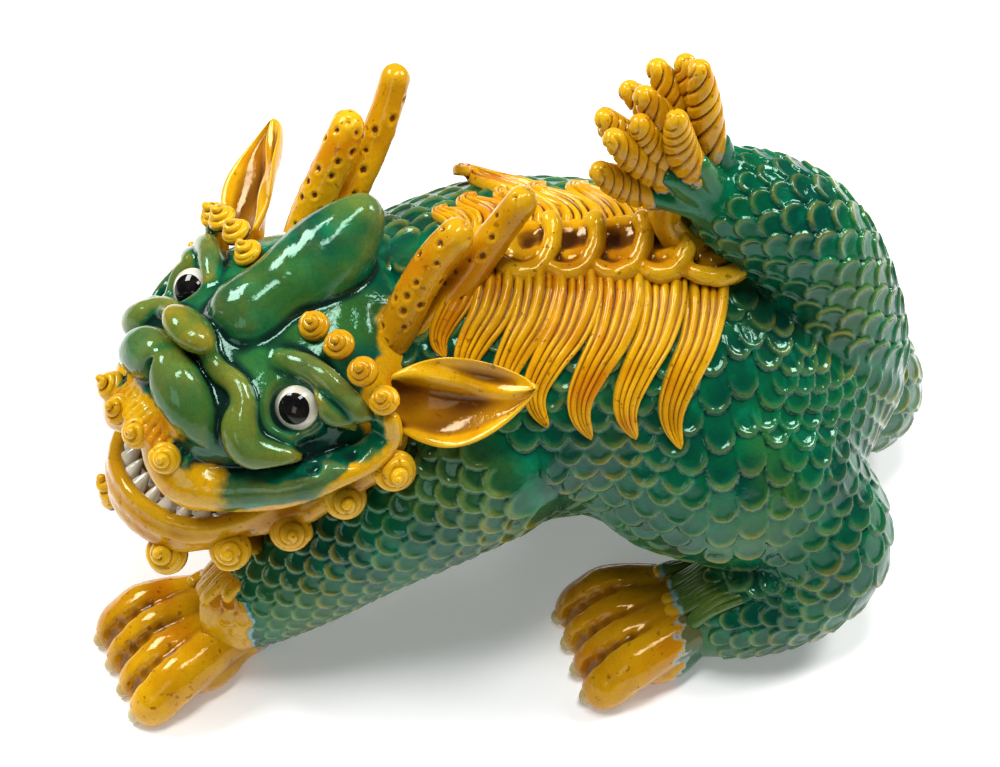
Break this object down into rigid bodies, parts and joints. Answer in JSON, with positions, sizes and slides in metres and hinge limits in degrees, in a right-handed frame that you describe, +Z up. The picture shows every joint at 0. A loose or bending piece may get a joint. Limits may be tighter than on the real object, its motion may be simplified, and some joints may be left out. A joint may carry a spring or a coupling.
{
  "type": "guardian beast statue",
  "caption": "Crouching glazed ceramic guardian beast, scaled body, forked horns, curled mane, head turned and tail raised over its back.",
  "frame": {"origin": "middle of the footprint box, on the plane that the four paws stand on", "axes": "the body lies along X with the tail at +X and the head at -X; the beast's left side, to which its head is turned, is -Y; +Z is up"},
  "size_m": [0.284, 0.1711, 0.2101],
  "materials": {
    "green_glaze": "glossy transparent copper-green lead glaze over pale clay, darker where it pools",
    "amber_glaze": "glossy transparent iron-amber lead glaze, browner in grooves",
    "cream_glaze": "glossy clear glaze over cream slip"
  },
  "bodies": {
    "root": {"body_shell": "green_glaze", "head_shell": "green_glaze", "lower_jaw": "amber_glaze", "lower_teeth": "cream_glaze", "eye_left": "cream_glaze", "eye_right": "cream_glaze", "ear_left": "amber_glaze", "ear_right": "amber_glaze", "crown_lump": "green_glaze", "horn_left_front": "amber_glaze", "horn_left_rear": "amber_glaze", "horn_right_front": "amber_glaze", "horn_right_rear": "amber_glaze", "brow_curls_left": "amber_glaze", "brow_curls_right": "amber_glaze", "moustache_curls": "amber_glaze", "beard_curls_left": "amber_glaze", "beard_curls_right": "amber_glaze", "crest_curls": "amber_glaze", "mane_lock_left_1": "amber_glaze", "mane_lock_left_2": "amber_glaze", "mane_lock_left_3": "amber_glaze", "mane_lock_left_4": "amber_glaze", "mane_lock_left_5": "amber_glaze", "mane_lock_right_1": "amber_glaze", "mane_lock_right_2": "amber_glaze", "mane_lock_right_3": "amber_glaze", "mane_lock_right_4": "amber_glaze", "mane_lock_right_5": "amber_glaze", "neck_lock": "amber_glaze", "tail_root": "green_glaze", "tail_tip": "green_glaze", "tail_tuft": "amber_glaze", "tuft_strut": "amber_glaze", "foreleg_left": "green_glaze", "foreleg_right": "green_glaze", "hind_leg_left": "green_glaze", "hind_leg_right": "green_glaze", "front_paw_left": "amber_glaze", "front_paw_right": "amber_glaze", "hind_paw_left": "amber_glaze", "hind_paw_right": "amber_glaze", "front_claws_left": "cream_glaze", "front_claws_right": "cream_glaze", "hind_claws_left": "cream_glaze", "hind_claws_right": "cream_glaze", "front_fringe_left": "amber_glaze", "front_fringe_right": "amber_glaze", "hind_fringe_left": "amber_glaze", "hind_fringe_right": "amber_glaze"}
  },
  "joints": []
}
